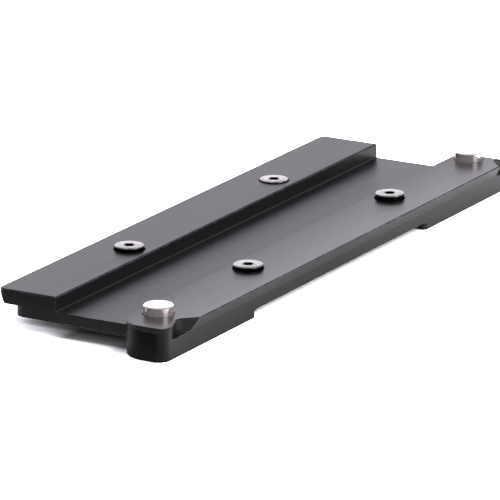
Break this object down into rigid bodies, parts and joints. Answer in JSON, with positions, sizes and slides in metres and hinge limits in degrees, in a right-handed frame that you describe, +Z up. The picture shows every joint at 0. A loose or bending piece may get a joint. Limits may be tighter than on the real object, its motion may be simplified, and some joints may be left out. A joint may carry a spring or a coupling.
{
  "type": "camera extension plate",
  "caption": "Long dovetail camera extension plate with a channel between a strip and a rail, captive cap screws and sprung stop pins.",
  "frame": {"origin": "on the plate's flat underside, midway along the plate, on the dovetail's centre plane", "axes": "+X along the plate towards its far end, +Y from the rail towards the strip, +Z up out of the top faces"},
  "size_m": [0.2368, 0.074, 0.0144],
  "materials": {
    "anodised_plate": "black anodised, fine satin",
    "screw_steel": "turned and satin",
    "pin_steel": "polished",
    "plug_steel": "blackened, satin",
    "spring_steel": "drawn wire, satin"
  },
  "bodies": {
    "plate": {"base_plate": "anodised_plate", "ring_near_left": "spring_steel", "ring_far_left": "spring_steel", "ring_near_right": "spring_steel", "ring_far_right": "spring_steel", "spring_near": "spring_steel", "spring_far": "spring_steel", "plug_near": "plug_steel", "plug_far": "plug_steel"},
    "screw_near_left": {"screw_near_left": "screw_steel"},
    "screw_far_left": {"screw_far_left": "screw_steel"},
    "screw_near_right": {"screw_near_right": "screw_steel"},
    "screw_far_right": {"screw_far_right": "screw_steel"},
    "stop_pin_near": {"stop_pin_near": "pin_steel"},
    "stop_pin_far": {"stop_pin_far": "pin_steel"}
  },
  "joints": [
    {"name": "screw_near_left_slide", "type": "slide", "parent": "plate", "child": "screw_near_left", "axis": [0, 0, 1], "range_m": [-0.00173, 0.0012]},
    {"name": "screw_far_left_slide", "type": "slide", "parent": "plate", "child": "screw_far_left", "axis": [0, 0, 1], "range_m": [-0.00085, 0.00208]},
    {"name": "screw_near_right_slide", "type": "slide", "parent": "plate", "child": "screw_near_right", "axis": [0, 0, 1], "range_m": [-0.00181, 0.00112]},
    {"name": "screw_far_right_slide", "type": "slide", "parent": "plate", "child": "screw_far_right", "axis": [0, 0, 1], "range_m": [-0.00215, 0.00078]},
    {"name": "stop_pin_near_press", "type": "slide", "parent": "plate", "child": "stop_pin_near", "axis": [0, 0, -1], "range_m": [0, 0.0033], "stiffness_N_per_m": 600, "springref_m": -0.003, "deforming": ["spring_near"]},
    {"name": "stop_pin_far_press", "type": "slide", "parent": "plate", "child": "stop_pin_far", "axis": [0, 0, -1], "range_m": [0, 0.0033], "stiffness_N_per_m": 600, "springref_m": -0.003, "deforming": ["spring_far"]}
  ]
}
